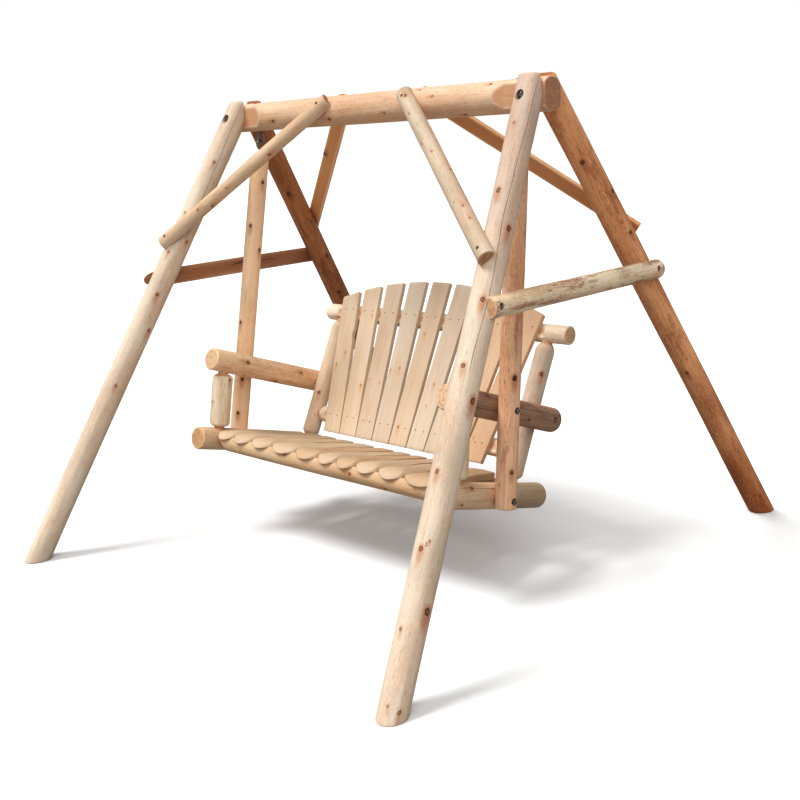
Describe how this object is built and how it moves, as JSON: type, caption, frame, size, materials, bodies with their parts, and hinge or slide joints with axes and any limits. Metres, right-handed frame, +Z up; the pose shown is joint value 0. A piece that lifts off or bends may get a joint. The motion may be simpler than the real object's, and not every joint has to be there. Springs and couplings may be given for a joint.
{
  "type": "log yard swing",
  "caption": "Peeled-log yard swing: a splayed A-frame stand with knee braces and side bars carries a slatted log bench on hangers that swing from eye bolts in the beam",
  "frame": {"origin": "on the floor, under the middle of the beam, at the centre of the box round the four feet", "axes": "+X along the beam to the sitter's left, -Y the front where a sitter faces, +Z up"},
  "size_m": [2.2068, 2.3334, 1.82],
  "materials": {
    "frame_log": "peeled log, weathered matte",
    "bench_log": "peeled log, weathered matte",
    "slat_board": "sawn and sanded, matte",
    "zinc_steel": "zinc plated"
  },
  "bodies": {
    "stand": {"top_beam": "frame_log", "leg_front_left": "frame_log", "leg_front_right": "frame_log", "leg_rear_left": "frame_log", "leg_rear_right": "frame_log", "brace_front_left": "frame_log", "brace_front_right": "frame_log", "brace_rear_left": "frame_log", "brace_rear_right": "frame_log", "side_bar_left": "frame_log", "side_bar_right": "frame_log", "leg_bolt_left": "zinc_steel", "leg_bolt_right": "zinc_steel", "leg_nut_left": "zinc_steel", "leg_nut_right": "zinc_steel", "beam_eye_left": "zinc_steel", "beam_eye_right": "zinc_steel", "eye_nut_left": "zinc_steel", "eye_nut_right": "zinc_steel"},
    "swing": {"hanger_eye_left": "zinc_steel", "hanger_eye_right": "zinc_steel", "hanger_left": "bench_log", "hanger_right": "bench_log", "hanger_bolt_arm_left": "zinc_steel", "hanger_bolt_arm_right": "zinc_steel", "hanger_bolt_rail_left": "zinc_steel", "hanger_bolt_rail_right": "zinc_steel", "side_rail_left": "bench_log", "side_rail_right": "bench_log", "front_rail": "bench_log", "rear_rail": "bench_log", "arm_left": "bench_log", "arm_right": "bench_log", "arm_post_left": "bench_log", "arm_post_right": "bench_log", "back_post_left": "bench_log", "back_post_right": "bench_log", "top_back_rail": "bench_log", "lower_back_rail": "bench_log", "back_slat_1": "slat_board", "back_slat_2": "slat_board", "back_slat_3": "slat_board", "back_slat_4": "slat_board", "back_slat_5": "slat_board", "back_slat_6": "slat_board", "back_slat_7": "slat_board", "back_slat_8": "slat_board", "back_slat_9": "slat_board", "seat_slat_1": "slat_board", "seat_slat_2": "slat_board", "seat_slat_3": "slat_board", "seat_slat_4": "slat_board", "seat_slat_5": "slat_board", "seat_slat_6": "slat_board", "seat_slat_7": "slat_board", "seat_slat_8": "slat_board", "seat_slat_9": "slat_board", "seat_slat_10": "slat_board"}
  },
  "joints": [
    {"name": "swing_hinge", "type": "hinge", "parent": "stand", "child": "swing", "pos_m": [0, 0, 1.645], "axis": [1, 0, 0], "range_deg": [-26, 30]}
  ]
}
